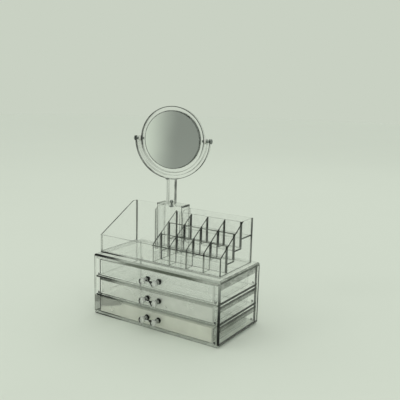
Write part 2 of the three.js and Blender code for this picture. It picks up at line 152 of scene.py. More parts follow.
class NodeBook:
    """Writes the nodes of one material or of the world."""

    def __init__(self, tree: bpy.types.NodeTree) -> None:
        """Starts with an empty tree."""
        self.tree = tree
        tree.nodes.clear()

    def node(self, kind: str, settings: dict | None = None, inputs: dict | None = None,
             output: int | str = 0) -> Signal:
        """Adds a node, sets it up and links it.

        Args:
            kind: The node's type.
            settings: Attributes of the node, which are set first.
            inputs: Values or signals for its sockets, by name or number.
            output: The socket that is handed on.

        Returns:
            The node's output.
        """
        made = self.tree.nodes.new(kind)
        for name, value in (settings or {}).items():
            setattr(made, name, value)
        for name, value in (inputs or {}).items():
            if isinstance(value, Signal):
                self.tree.links.new(value.socket, made.inputs[name])
            else:
                made.inputs[name].default_value = value
        return Signal(self, made.outputs[output] if len(made.outputs) else None)

    def place(self) -> Signal:
        """Gives a point's place on the object, in metres."""
        return self.node("ShaderNodeTexCoord", output="Object")

    def along(self, axis: str) -> Signal:
        """Gives a point's place along one axis, in metres."""
        return self.node("ShaderNodeSeparateXYZ", None, {0: self.place()}, axis)

    def noise(self, size: float, detail: float = 2.0, stretch: Triple = (1.0, 1.0, 1.0)) -> Signal:
        """Gives smooth noise.

        Args:
            size: How wide a patch is, in metres.
            detail: How many finer layers it has.
            stretch: How much longer a patch is along each axis.

        Returns:
            Noise from 0 to 1 round 0.5.
        """
        scale = tuple(1 / (size * share) for share in stretch)
        place = self.node("ShaderNodeVectorMath", {"operation": "MULTIPLY"}, {0: self.place(), 1: scale})
        return self.node("ShaderNodeTexNoise", None, {"Vector": place, "Scale": 1.0, "Detail": detail})

    def between(self, share: Signal, first: tuple, second: tuple) -> Signal:
        """Blends two colours."""
        settings = {"data_type": "RGBA"}
        return self.node("ShaderNodeMix", settings, {0: share, 6: first, 7: second}, 2)

    def bump(self, height: Signal, depth: float, strength: float = 1.0) -> Signal:
        """Turns a height from 0 to 1 into a normal, for a relief of the given depth in metres."""
        return self.node("ShaderNodeBump", None, {"Height": height, "Distance": depth, "Strength": strength})

    def solid(self, inputs: dict) -> Signal:
        """Gives the shader of a solid surface."""
        return self.node("ShaderNodeBsdfPrincipled", None, inputs)

    def clear(self) -> Signal:
        """Gives the shader that lets the view through."""
        return self.node("ShaderNodeBsdfTransparent", None, {"Color": WHITE})

    def facing(self) -> Signal:
        """Gives 0 where the surface is seen square on and 1 at its outline."""
        return self.node("ShaderNodeLayerWeight", None, {"Blend": 0.5}, "Facing")

    def layered(self, share: Signal | float, first: Signal, second: Signal) -> Signal:
        """Lays the second shader over the first."""
        return self.node("ShaderNodeMixShader", None, {0: share, 1: first, 2: second})

    def finish(self, surface: Signal) -> None:
        """Sends a shader to the tree's output."""
        world = any(node.type == "BACKGROUND" for node in self.tree.nodes)
        kind = "ShaderNodeOutputWorld" if world else "ShaderNodeOutputMaterial"
        self.node(kind, None, {"Surface": surface})


class Finish:
    """The look of a surface, which knows how to write its nodes."""

    def surface(self, book: NodeBook) -> Signal:
        """Writes the nodes and gives their shader."""
        raise NotImplementedError

    def material(self, name: str) -> bpy.types.Material:
        """Makes a material of this finish.

        Args:
            name: The material's name.

        Returns:
            The material.
        """
        material = bpy.data.materials.new(name)
        material.use_nodes = True
        book = NodeBook(material.node_tree)
        book.finish(self.surface(book))
        return material


@dataclass(frozen=True)
class ClearFinish(Finish):
    """Clear plastic. It lets the view through unbent, with a faint cast and polished reflections.

    A piece may have a painted dark reflection, which fades in between two places along X and two up a slanted
    line.
    """

    cast: Triple
    haze: float
    rim: float = 0.0
    painted_rim_shade: Triple = (62, 70, 64)
    rim_sharpness: float = 4.0
    patch: float = 0.06
    shine: float = 1.0
    painted_reflection_patch: tuple[Span, Span] | None = None

    def surface(self, book: NodeBook) -> Signal:
        """Writes the nodes and gives their shader."""
        cloud = book.noise(self.patch, 3.0)
        grain = book.noise(0.004, 2.0)
        facing = book.facing()
        # Painted shade: towards the outline the colour turns to the dark rim colour, for the dark edge that a
        # clear piece shows there.
        outline = (facing ** self.rim_sharpness).held()
        haze = (self.haze * (0.6 + 0.8 * cloud) + self.rim * outline).held()
        pale = book.between(cloud, dimmed(self.cast, 0.94), colour(*self.cast))
        # Painted reflection: a dark patch in the cast and the haze, placed by where it lies on the piece.
        if self.painted_reflection_patch:
            height = book.along("Z") - 0.25 * book.along("X")
            painted_patch_share = book.along("X").eased(*self.painted_reflection_patch[0]) * height.eased(*self.painted_reflection_patch[1])
            pale = book.between(painted_patch_share, pale, dimmed(self.cast, 0.62))
            haze = (haze + 0.11 * painted_patch_share).held()
        body = book.solid({
            "Base Color": book.between(outline, pale, colour(*self.painted_rim_shade)),
            "Roughness": 0.05 + 0.08 * grain,
            "IOR": ACRYLIC_IOR,
        })
        clear = book.clear()
        polish = book.node("ShaderNodeBsdfGlossy", None, {
            "Color": (0.95, 0.97, 0.95, 1.0), "Roughness": 0.03 + 0.05 * cloud,
        })
        reflected = ((0.035 + 0.9 * facing ** 5.0) * self.shine).held()
        return book.layered(reflected, book.layered(haze, clear, body), polish)


@dataclass(frozen=True)
class EdgeFinish(Finish):
    """The cut edge of clear sheet: dark grey-green bands where it gathers light, paler where it lets it out.

    An edge may also turn from dark to pale between two places along an axis, in metres, as painted light and
    shade along the edge.
    """

    dark: Triple
    pale: Triple
    cover: float
    spread: float = 0.35
    band: float = 0.03
    painted_light_fade: tuple[float, float] | None = None
    axis: str = "X"

    def surface(self, book: NodeBook) -> Signal:
        """Writes the nodes and gives their shader."""
        band = book.noise(self.band, 2.0).eased(0.36, 0.64)
        # Painted light and shade: the edge's darkness changes with its place along the axis.
        if self.painted_light_fade:
            band = (book.along(self.axis).eased(*self.painted_light_fade) * 0.92 + band * 0.12 - 0.04).held()
        saw = book.noise(0.0015, 2.0)
        cover = (self.cover * (1.0 - self.spread * band)).held()
        body = book.solid({
            "Base Color": book.between(band, colour(*self.dark), colour(*self.pale)),
            "Roughness": 0.12 + 0.16 * saw,
            "IOR": ACRYLIC_IOR,
            "Specular IOR Level": 0.2,
            "Normal": book.bump(saw, 0.00003, 0.4),
        })
        clear = book.clear()
        return book.layered(cover, clear, body)


@dataclass(frozen=True)
class MirrorFinish(Finish):
    """Silvered glass with faint smudges in its polish, and a painted reflection that turns from pale at the
    left to dark at the right.
    """

    painted_pale_silver: Triple
    painted_dark_silver: Triple

    def surface(self, book: NodeBook) -> Signal:
        """Writes the nodes and gives their shader."""
        # Painted reflection: the colour turns from pale at the left to dark at the right, slanting a little
        # with height.
        across = book.along("X") - 0.1 * book.along("Z") + 0.01 * book.noise(0.05, 2.0)
        share = across.eased(-0.102, -0.038)
        smudge = book.noise(0.018, 4.0).eased(0.45, 0.8)
        return book.solid({
            "Base Color": book.between(share, colour(*self.painted_pale_silver), colour(*self.painted_dark_silver)),
            "Metallic": 1.0,
            "Roughness": 0.03 + 0.07 * smudge,
        })


@dataclass(frozen=True)
class SolidFinish(Finish):
    """A plain surface with faint clouds in its colour and a fine grain in its polish and relief.

    Clouds and grain are given as the arguments of their noise, and the relief by depth and strength.
    """

    shade: Triple
    dim: float
    clouds: tuple
    grain: tuple
    roughness: float
    uneven: float
    relief: tuple[float, float]
    extra: tuple[tuple[str, float], ...] = ()

    def surface(self, book: NodeBook) -> Signal:
        """Writes the nodes and gives their shader."""
        grain = book.noise(*self.grain)
        cloud = book.noise(*self.clouds)
        return book.solid({
            "Base Color": book.between(cloud, dimmed(self.shade, self.dim), colour(*self.shade)),
            "Roughness": self.roughness + self.uneven * grain,
            "Normal": book.bump(grain, *self.relief),
            **dict(self.extra),
        })


class Kind(Enum):
    """The finishes of the organizer and the floor. A material has its finish's name in small letters."""

    # Edge finishes that turn from dark to pale along an axis carry painted light and shade along their
    # length.
    CASE_ACRYLIC = ClearFinish((150, 158, 146), 0.014, shine=0.6)
    CASE_EDGE = EdgeFinish((124, 132, 122), (176, 184, 172), 0.34, 0.4)
    CASE_LEFT_LINE = EdgeFinish((34, 42, 34), (84, 92, 80), 0.9, 0.25)
    # Painted shade in the left sheet's lower front corner, beside the lower drawer.
    CASE_PAINTED_SHADE_SIDE = EdgeFinish((76, 80, 68), (104, 110, 98), 0.72, 0.32, 0.03, (0.0215, 0.0175), "Z")
    CASE_RIGHT_LINE = EdgeFinish((5, 7, 5), (100, 107, 98), 0.98, 0.35, 0.03, (0.045, 0.1), "Z")
    CASE_TOP_FRONT = EdgeFinish((2, 3, 2), (156, 163, 152), 0.99, 0.3, 0.03, (-0.084, -0.05))
    CASE_FADED_LINE = EdgeFinish((7, 10, 7), (118, 125, 115), 0.97, 0.5, 0.03, (-0.08, -0.045))
    CASE_SIDE_BAND = EdgeFinish((66, 73, 62), (112, 119, 108), 0.76, 0.25, 0.02)
    RAIL_BAND = EdgeFinish((96, 103, 90), (150, 158, 146), 0.9, 0.85, 0.05, (-0.03, -0.09))
    RAIL_RIGHT_BAND = EdgeFinish((86, 93, 80), (146, 153, 141), 0.9, 0.6, 0.05, (0.055, 0.1))
    BACK_EDGE = EdgeFinish((120, 128, 118), (160, 167, 156), 0.3, 0.3)
    SHELF_EDGE = EdgeFinish((7, 9, 7), (128, 135, 124), 0.97, 0.3, 0.05, (-0.088, -0.06))
    SHELF_RIM = EdgeFinish((48, 54, 44), (138, 145, 133), 0.85, 0.4, 0.05, (-0.088, -0.06))
    SHELF_FAINT_RIM = EdgeFinish((132, 138, 124), (150, 156, 142), 0.55, 0.4, 0.05)
    CASE_SIDE_LINE = EdgeFinish((40, 46, 38), (84, 91, 80), 0.9, 0.2, 0.02)
    BLACK_LINE = EdgeFinish((5, 7, 6), (30, 35, 31), 0.98, 0.08)
    GUIDE_ACRYLIC = ClearFinish((150, 158, 146), 0.006, shine=0.3)
    GUIDE_END = EdgeFinish((18, 22, 19), (60, 67, 60), 0.85, 0.35)
    TRAY_ACRYLIC = ClearFinish((164, 172, 160), 0.022, shine=0.8)
    TRAY_EDGE = EdgeFinish((78, 86, 76), (128, 135, 124), 0.68, 0.3)
    TRAY_FOOT = EdgeFinish((6, 8, 6), (146, 153, 142), 0.97, 0.4, 0.03, (-0.08, -0.054))
    TRAY_FAINT_EDGE = EdgeFinish((112, 120, 110), (156, 163, 152), 0.26, 0.4)
    RACK_WALL_TOP = EdgeFinish((52, 60, 50), (112, 119, 108), 0.78, 0.35)
    TRAY_END_EDGE = EdgeFinish((9, 12, 9), (58, 65, 56), 0.96, 0.2)
    RACK_LINE = EdgeFinish((22, 27, 22), (84, 92, 82), 0.93, 0.22)
    RACK_BAR = EdgeFinish((16, 20, 15), (84, 91, 80), 0.94, 0.45, 0.02, (0.145, 0.106), "Z")
    RACK_END = EdgeFinish((7, 10, 7), (40, 46, 39), 0.98, 0.1, 0.02)
    # The three drawers are one plastic; their walls get darker, hazier copies of it lower down, as painted
    # shade.
    LOWER_DRAWER_PLASTIC = ClearFinish((92, 96, 76), 0.105)
    MIDDLE_DRAWER_PLASTIC = ClearFinish((140, 146, 134), 0.024)
    UPPER_DRAWER_PLASTIC = ClearFinish((150, 157, 148), 0.02)
    # The lower drawer's front has a painted dark reflection near its upper left corner.
    LOWER_DRAWER_FRONT = ClearFinish((224, 228, 211), 0.42, painted_reflection_patch=((-0.056, -0.068), (0.0385, 0.0425)))
    MIDDLE_DRAWER_FRONT = ClearFinish((216, 221, 209), 0.36)
    UPPER_DRAWER_FRONT = ClearFinish((214, 221, 210), 0.34)
    DRAWER_EDGE = EdgeFinish((26, 30, 26), (130, 137, 126), 0.9, 0.5, 0.04, (-0.085, -0.045))
    DRAWER_FAINT_EDGE = EdgeFinish((118, 125, 115), (156, 163, 152), 0.4, 0.35)
    CASE_BAY_BAND = EdgeFinish((52, 59, 47), (90, 97, 85), 0.7, 0.25, 0.03)
    CASE_BAY_DARK_BAND = EdgeFinish((3, 5, 2), (28, 34, 24), 0.97, 0.15, 0.03)
    HANDLE_PLASTIC = ClearFinish((206, 213, 202), 0.16, 0.98, (6, 9, 6), 1.3, 0.01, 1.6)
    # Painted shade for the posts' feet, the bar and the left of each head, and a painted glint for the heads.
    HANDLE_PAINTED_SHADE = EdgeFinish((4, 6, 4), (22, 26, 22), 0.99, 0.08, 0.004)
    HANDLE_PAINTED_GLINT = ClearFinish((238, 244, 234), 0.34, 0.95, (10, 14, 10), 1.8, 0.004, 2.0)
    MIRROR_FRAME_PLASTIC = ClearFinish((170, 178, 168), 0.018, 0.8, (24, 29, 25), 3.2, 0.03)
    MIRROR_BASE_PLASTIC = ClearFinish((170, 178, 168), 0.016, 0.45, (44, 51, 44), 3.0, 0.03)
    MIRROR_BASE_LINE = EdgeFinish((20, 26, 20), (84, 92, 82), 0.92, 0.3, 0.02)
    MIRROR_RING_LINE = EdgeFinish((5, 8, 6), (140, 147, 137), 0.95, 0.75, 0.02, (0.285, 0.25), "Z")
    MIRROR_SOFT_LINE = EdgeFinish((96, 104, 94), (150, 157, 146), 0.42, 0.5, 0.02)
    MIRROR_EDGE = EdgeFinish((6, 9, 7), (52, 59, 53), 0.96, 0.25, 0.02)
    MIRROR_FAINT_EDGE = EdgeFinish((92, 100, 90), (140, 147, 136), 0.62, 0.35, 0.02)
    # The silvering's two colours are the pale and dark ends of its painted reflection.
    SILVERED_GLASS = MirrorFinish((250, 253, 250), (168, 170, 170))
    MIRROR_GROUND_EDGE = EdgeFinish((52, 58, 53), (116, 122, 116), 0.95, 0.1, 0.02)
    NICKEL_PLATE = SolidFinish((150, 155, 154), *STEEL_GRAIN, 0.2, *BRUSHED)
    # A darker copy of the nickel plate, which paints shade on the screws' heads.
    PAINTED_SHADE_NICKEL = SolidFinish((36, 38, 37), *STEEL_GRAIN, 0.3, *BRUSHED)
    MILKY_NYLON = SolidFinish((206, 210, 200), 0.86, (0.003,), (0.0006, 2.0), 0.38, 0.14, (0.00003, 0.5))
    MATT_BOARD = SolidFinish(
        (206, 215, 200), 0.99, (0.5, 2.0), (0.002, 2.0), 0.85, 0.0, (0.0001, 0.1),
        (("Specular IOR Level", 0.1),),
    )

    def material(self) -> bpy.types.Material:
        """Gives this finish's material, made once."""
        name = self.name.lower()
        return bpy.data.materials.get(name) or self.value.material(name)


class Workpiece:
    """One mesh on the bench. Inside a with block it is open in edit mode."""

    def __init__(self, item: bpy.types.Object, name: str) -> None:
        """Takes over an object and names it."""
        self.item = item
        item.name = item.data.name = name

    @staticmethod
    def clear_bench() -> None:
        """Deselects everything."""
        bpy.ops.object.select_all(action="DESELECT")

    def take_up(self) -> None:
        """Makes the piece the active object and the only selected one."""
        self.clear_bench()
        self.item.select_set(True)
        bpy.context.view_layer.objects.active = self.item

    @classmethod
    def block(cls, name: str, low: Vector, high: Vector) -> "Workpiece":
        """Starts from a block between two corners.

        Args:
            name: The new piece's name.
            low: Its lowest corner, in metres.
            high: Its highest corner.

        Returns:
            The workpiece.
        """
        cls.clear_bench()
        bpy.ops.mesh.primitive_cube_add(size=1, location=(low + high) / 2)
        piece = cls(bpy.context.object, name)
        piece.item.scale = high - low
        return piece.applied()

    @classmethod
    def disc(cls, name: str, middle: Vector, radius: float, turn: Triple, sides: int) -> "Workpiece":
        """Starts from a round face.

        Args:
            name: The new piece's name.
            middle: Its middle, in metres.
            radius: Its radius.
            turn: Its rotation from facing up, in degrees round X, Y and Z.
            sides: How many corners it has.

        Returns:
            The workpiece.
        """
        cls.clear_bench()
        bpy.ops.mesh.primitive_circle_add(
            vertices=sides, radius=radius, fill_type="NGON", location=middle,
            rotation=tuple(math.radians(t) for t in turn),
        )
        return cls(bpy.context.object, name).applied()

    @classmethod
    def plane(cls, name: str, low: Vector, high: Vector) -> "Workpiece":
        """Starts from a flat rectangle at one height, between two corners.

        Args:
            name: The new piece's name.
            low: Its lowest corner, in metres.
            high: Its highest corner, at the same height.

        Returns:
            The workpiece.
        """
        cls.clear_bench()
        bpy.ops.mesh.primitive_plane_add(size=1, location=(low + high) / 2)
        piece = cls(bpy.context.object, name)
        piece.item.scale = (high.x - low.x, high.y - low.y, 1.0)
        return piece.applied()

    @classmethod
    def copy_of(cls, node: str, name: str) -> "Workpiece":
        """Starts from a merged copy of a node of the part, with its flat faces whole.

        Args:
            node: The node's name.
            name: The new piece's name.

        Returns:
            The workpiece.
        """
        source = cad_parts[node]
        item = bpy.data.objects.new(name, source.data.copy())
        bpy.context.scene.collection.objects.link(item)
        item.data.materials.clear()
        piece = cls(item, name)
        with piece:
            piece.everything()
            bpy.ops.mesh.remove_doubles(threshold=DOUBLES)
            piece.flatten()
        return piece

    def applied(self) -> "Workpiece":
        """Moves the object's place, turn and scale into its mesh."""
        self.take_up()
        bpy.ops.object.transform_apply(location=True, rotation=True, scale=True)
        return self

    def __enter__(self) -> "Workpiece":
        """Opens the mesh with nothing selected."""
        self.take_up()
        bpy.ops.object.mode_set(mode="EDIT")
        self.start_choice("FACE")
        return self

    def __exit__(self, *problem: object) -> None:
        """Closes the mesh."""
        bpy.ops.object.mode_set(mode="OBJECT")

    def everything(self) -> None:
        """Selects the whole mesh."""
        bpy.ops.mesh.select_all(action="SELECT")

    @staticmethod
    def start_choice(mode: str) -> None:
        """Goes over to faces, edges or points, with none selected."""
        bpy.ops.mesh.select_mode(type=mode)
        bpy.ops.mesh.select_all(action="DESELECT")

    def choose(self, mode: str, found: Callable[[bmesh.types.BMesh], list]) -> None:
        """Selects some elements of the mesh.

        Args:
            mode: What they are: FACE, EDGE or VERT.
            found: Takes the open mesh and gives them.
        """
        self.start_choice(mode)
        mesh = bmesh.from_edit_mesh(self.item.data)
        for element in found(mesh):
            element.select_set(True)
        if mode == "VERT":
            mesh.select_flush(True)
        bmesh.update_edit_mesh(self.item.data)

    def faces(self, test: FaceTest) -> None:
        """Selects the faces that pass a test on their middle (at), in millimetres, and normal (out)."""
        self.choose("FACE", lambda mesh: [
            face for face in mesh.faces if test(face.calc_center_median() / MM, face.normal)])

    def edges(self, test: EdgeTest) -> None:
        """Selects the edges that pass a test on their two ends, in millimetres."""
        self.choose("EDGE", lambda mesh: [e for e in mesh.edges if test(*(v.co / MM for v in e.verts))])

    def points(self, test: PointTest) -> None:
        """Selects the points that pass a test on their place, in millimetres."""
        self.choose("VERT", lambda mesh: [v for v in mesh.verts if test(v.co / MM)])

    def sharp(self, degrees: float = 32.0) -> None:
        """Selects the edges where two faces meet at more than an angle."""
        self.start_choice("EDGE")
        bpy.ops.mesh.edges_select_sharp(sharpness=math.radians(degrees))

    def extrude(self, along: Vector) -> None:
        """Extrudes what is selected."""
        bpy.ops.mesh.extrude_region_move(TRANSFORM_OT_translate={"value": along})

    def grow(self, times: Triple, middle: Vector) -> None:
        """Scales what is selected about a point."""
        bpy.ops.transform.resize(value=times, center_override=middle)

    def inset(self, width: float) -> None:
        """Insets the selected faces as one region, by a width in millimetres."""
        bpy.ops.mesh.inset(thickness=width * MM, use_even_offset=True)

    def bevel(self, width: float, steps: int = 2, points: bool = False) -> None:
        """Rounds what is selected, by a width in millimetres."""
        bpy.ops.mesh.bevel(
            offset=width * MM, segments=steps, affect="VERTICES" if points else "EDGES",
            clamp_overlap=True, profile=0.5,
        )

    def slice(self, axis: int, place: float) -> None:
        """Cuts new edges at a place along an axis, in millimetres."""
        normal = Vector([float(number == axis) for number in range(3)])
        self.everything()
        bpy.ops.mesh.bisect(plane_co=normal * place * MM, plane_no=normal)

    def spin(self, degrees: float, steps: int, middle: Vector, axis: Triple) -> None:
        """Spins what is selected round an axis."""
        bpy.ops.mesh.spin(steps=steps, angle=math.radians(degrees), center=middle, axis=axis)

    def tidy(self) -> None:
        """Merges doubles and turns every face outwards."""
        self.everything()
        bpy.ops.mesh.remove_doubles(threshold=DOUBLES)
        self.face_out()

    def face_out(self) -> None:
        """Turns every face outwards."""
        self.everything()
        bpy.ops.mesh.normals_make_consistent(inside=False)

    def flatten(self, **limits: set) -> None:
        """Makes flat faces whole again."""
        self.everything()
        bpy.ops.mesh.dissolve_limited(angle_limit=FLAT, **limits)

    def paint(self, slot: int, test: FaceTest) -> None:
        """Gives the faces that pass a test one of the piece's material slots."""
        self.faces(test)
        self.item.active_material_index = slot
        bpy.ops.object.material_slot_assign()

    def paint_all(self, *touches: Touch) -> None:
        """Paints by several tests, each over the ones before it."""
        for slot, test in touches:
            self.paint(slot, test)

    def dress(self, *kinds: Kind) -> None:
        """Gives the piece its material slots."""
        for kind in kinds:
            self.item.data.materials.append(kind.material())

    def combine(self, other: "Workpiece", operation: str) -> None:
        """Unites the piece with another or cuts it by another, which is used up.

        Args:
            other: The other piece.
            operation: UNION or DIFFERENCE.
        """
        self.take_up()
        change = self.item.modifiers.new("combine", "BOOLEAN")
        change.operation = operation
        change.solver = "EXACT"
        change.object = other.item
        bpy.ops.object.modifier_apply(modifier=change.name)
        bpy.data.objects.remove(other.item)

    def smooth(self, degrees: float = 35.0) -> None:
        """Shades the piece smooth, with flat faces kept flat and sharp edges kept sharp."""
        self.take_up()
        bpy.ops.object.shade_smooth_by_angle(angle=math.radians(degrees))
        weighted = self.item.modifiers.new("weighted", "WEIGHTED_NORMAL")
        weighted.keep_sharp = True
        bpy.ops.object.modifier_apply(modifier=weighted.name)

    def turned_to(self, degrees: float, place: Vector) -> None:
        """Turns the piece round the upright axis and then moves it."""
        self.item.rotation_euler = (0.0, 0.0, math.radians(degrees))
        self.item.location = place
        self.applied()

    def join(self, body: str, slot: str, *nodes: str) -> None:
        """Puts the finished piece on its body, in place of the nodes of the part.

        Args:
            body: The body that it rides on.
            slot: The record's slot of its finish. It is not used.
            nodes: The nodes that it replaces.
        """
        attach(self.item, body)
        if nodes:
            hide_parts(*nodes)
        LOG.info("%s: %d faces, on %s", self.item.name, len(self.item.data.polygons), body)


def turned(name: str, start: Vector, along: Triple, stations: list[Span], sides: int = 32) -> Workpiece:
    """Turns a round piece: a disc that is extruded and scaled from station to station.

    Args:
        name: The piece's name.
        start: Where the axis starts, in millimetres.
        along: The direction of the axis.
        stations: Distances along the axis with the radius there, in millimetres.
        sides: How many sides it has.

    Returns:
        The workpiece.
    """
    axis = Vector(along)
    distance, radius = stations[0]
    middle = (start + axis * distance) * MM
    piece = Workpiece.disc(name, middle, radius * MM, TURNS[along], sides)
    across = tuple(0.0 if along[i] else 1.0 for i in range(3))
    with piece:
        piece.everything()
        for further, wider in stations[1:]:
            piece.extrude(axis * (further - distance) * MM)
            middle = (start + axis * further) * MM
            times = wider / radius
            piece.grow(tuple(times if share else 1.0 for share in across), middle)
            distance, radius = further, wider
        piece.tidy()
    return piece


def drill(piece: Workpiece, start: Vector, along: Triple, stations: list[Span], sides: int = 32) -> None:
    """Cuts a turned shape out of a piece."""
    piece.combine(turned("cutter", start, along, stations, sides), "DIFFERENCE")


def rounded(radius: float, reach: float, top: float, steps: int = 5) -> list[Span]:
    """Lists the stations of a quarter round at the end of a turned piece.

    Args:
        radius: The rounding.
        reach: The piece's radius.
        top: Where the piece ends.
        steps: How many stations it has.

    Returns:
        The stations, which end at the top.
    """
    angles = [math.pi / 2 * step / steps for step in range(steps + 1)]
    return [(top - radius + radius * math.sin(a), reach - radius + radius * math.cos(a)) for a in angles]


def towards(axis: int, sign: float, least: float = 0.4) -> FaceTest:
    """Gives the test for faces that look along an axis by at least a share of their normal."""
    return lambda at, out: out[axis] * sign > least


def within(value: float, spans: tuple[Span, ...]) -> bool:
    """Tells whether a number lies inside one of some spans."""
    return any(start < value < end for start, end in spans)


def off_axis(place: Vector) -> float:
    """Gives a place's distance from the Y axis."""
    return Vector((place.x, place.z)).length


@dataclass(frozen=True)
class Sheet:
    """A flat sheet of the part, with polished corners and finishes of their own on its cut edges.

    Bars run across its faces in the third finish, and patches wear the finish with their number.
    """

    node: str
    across: int
    cuts: tuple[tuple[int, float], ...] = ()
    bars: tuple[Span, ...] = ()
    patches: tuple[tuple[int, PointTest], ...] = ()
    round: float = 0.3

    def make(self, body: str, slot: str, kinds: tuple[Kind, ...], touches: tuple[Touch, ...] = ()) -> None:
        """Builds and dresses the sheet.

        Args:
            body: The body that it rides on.
            slot: The record's slot of its finish.
            kinds: The finishes of its faces, of its edges, and further ones. The third is for the bars
                across its faces too.
            touches: Which further finish goes on which of its edges.
        """
        piece = Workpiece.copy_of(self.node, f"{self.node}_sheet")
        piece.dress(*kinds)
        along = 1 if self.across == 0 else 0
        cuts = self.cuts + tuple((along, place) for bar in self.bars for place in bar)
        with piece:
            for axis, place in cuts:
                piece.slice(axis, place)
            piece.sharp()
            piece.bevel(self.round, 2)
            for number, test in ((1, lambda at, out: True), *touches):
                piece.paint(number, lambda at, out: (
                    abs(out[self.across]) < 0.98 and test(at, out)))
            if self.bars:
                piece.paint(2, lambda at, out: within(at[along], self.bars))
            for number, inside in self.patches:
                piece.paint(number, lambda at, out: inside(at))
            piece.face_out()
        piece.join(body, slot, self.node)


@dataclass
class Case:
    """The case: four outer sheets, a back, two shelves, a rail over the upper drawer and guides."""

    half: float = 120.0
    height: float = 102.0
    line: float = 1.2
    broad_line: float = 1.8
    bottom_line: float = 3.0
    top_cut: float = 1.0
    corner: float = 6.0
    seams: tuple[Span, ...] = ((32.0, 35.8), (63.0, 66.8))
    dark_bands: tuple[Span, ...] = ((26.0, 30.0), (57.0, 61.0))
    bands: tuple[Span, ...] = ((20.6, 26.0), (51.6, 57.0))
    top_band: Span = (85.4, 97.8)
    bands_start: float = -54.0
    front_bar: Span = (-60.0, -58.7)
    back_bar: Span = (114.5, 115.7)
    shelf_mark: Span = (-109.4, -107.6)
    # Where the painted shade in the left sheet's lower front corner ends, along Y and up Z
    painted_shade_end: float = -46.0
    painted_shade_top: float = 32.0

    def on_inner_face(self, spans: tuple[Span, ...], start: float) -> PointTest:
        """Gives the test for places on the right sheet's inner face.

        Args:
            spans: The heights that pass.
            start: The place along Y behind which they pass.

        Returns:
            The test.
        """
        inner = self.half - 3.0
        return lambda place: place.x < inner and place.y > start and within(place.z, spans)

    def in_painted_shade_corner(self, place: Vector) -> bool:
        """Tells whether a place lies in the lower front corner of the left sheet, which carries painted
        shade.
        """
        return place.x > self.line - self.half and place.y < self.painted_shade_end and place.z < self.painted_shade_top

    def build_right(self) -> None:
        """Builds the right sheet, with the dark lines and bands that run along the bays."""
        inner_line = self.half - self.broad_line
        spans = (*self.seams, *self.dark_bands, *self.bands, self.top_band)
        cuts = ((0, inner_line), (1, self.bands_start), *((2, place) for span in spans for place in span))
        patches = (
            (3, self.on_inner_face(self.seams, self.front_bar[0])),
            (4, self.on_inner_face(self.dark_bands, self.bands_start)),
            (5, self.on_inner_face(self.bands, self.bands_start)),
            (6, self.on_inner_face((self.top_band,), self.bands_start)),
        )
        self.make(
            Sheet("case_right", 0, cuts, (self.front_bar,), patches), Kind.CASE_EDGE,
            (Kind.CASE_RIGHT_LINE, Kind.BLACK_LINE, Kind.CASE_BAY_DARK_BAND, Kind.CASE_BAY_BAND,
             Kind.CASE_SIDE_BAND),
            (3, lambda at, out: abs(out.z) > 0.4 or at.x > inner_line),
            (2, towards(1, -1)),
        )

    def build(self) -> None:
        """Builds every sheet and guide of the case."""
        front, front_round, right = towards(1, -1), towards(1, -1, 0.3), towards(0, 1)
        side_line = self.half - self.line
        self.make(
            Sheet("case_top", 2, ((2, self.height - self.top_cut),)), Kind.CASE_EDGE,
            (Kind.CASE_TOP_FRONT, Kind.CASE_SIDE_BAND), (2, front_round),
            (3, lambda at, out: out.x > 0.05 and at.x > self.half - self.corner),
        )
        self.make(
            Sheet("case_bottom", 2, ((2, self.broad_line), (2, self.bottom_line))), Kind.CASE_EDGE,
            (Kind.CASE_FADED_LINE, Kind.CASE_SIDE_LINE, Kind.BLACK_LINE),
            (2, lambda at, out: front_round(at, out) and at.z < self.broad_line),
            (3, lambda at, out: right(at, out) and at.z < self.broad_line),
            (4, lambda at, out: right(at, out) and at.z > self.bottom_line),
        )
        self.make(
            # The left sheet's lower front corner carries painted shade.
            Sheet("case_left", 0, ((0, -side_line), (1, self.painted_shade_end), (2, self.painted_shade_top)),
                  patches=((3, self.in_painted_shade_corner),)),
            Kind.CASE_EDGE, (Kind.CASE_LEFT_LINE, Kind.CASE_PAINTED_SHADE_SIDE),
            (2, lambda at, out: at.x < -side_line),
        )
        self.build_right()
        back = Sheet("case_back", 1, bars=(self.back_bar,))
        self.make(back, Kind.BACK_EDGE, (Kind.BLACK_LINE,), (2, right))
        Sheet("case_front_rail", 1, ((0, 0.0),), patches=((1, lambda place: place.x > 0.0),)).make(
            "case", "case_clear", (Kind.RAIL_BAND, Kind.RAIL_RIGHT_BAND), ((0, lambda at, out: at.x < 0.0),),
        )
        for node in ("lower_shelf", "upper_shelf"):
            self.make(
                Sheet(node, 2, tuple((0, place) for place in self.shelf_mark)), Kind.BACK_EDGE,
                (Kind.SHELF_EDGE, Kind.BLACK_LINE), (2, front), (3, right),
                (3, lambda at, out: front_round(at, out) and within(at.x, (self.shelf_mark,))),
            )
        for level in ("lower", "middle", "upper"):
            for side in ("left", "right"):
                self.guide(f"{level}_{side}_guide")

    def make(self, sheet: Sheet, edge: Kind, others: tuple[Kind, ...], *touches: Touch) -> None:
        """Builds one sheet with its edges' finish and further ones on some of them."""
        sheet.make("case", "case_clear", (Kind.CASE_ACRYLIC, edge, *others), touches)

    def guide(self, node: str) -> None:
        """Builds one guide, a square rail with a rounded front end."""
        piece = Workpiece.copy_of(node, f"{node}_rail")
        piece.dress(Kind.GUIDE_ACRYLIC, Kind.GUIDE_END)
        with piece:
            piece.sharp()
            piece.bevel(0.5, 3)
            piece.paint(1, lambda at, out: abs(out.y) > 0.5)
        piece.join("case", "case_clear", node)


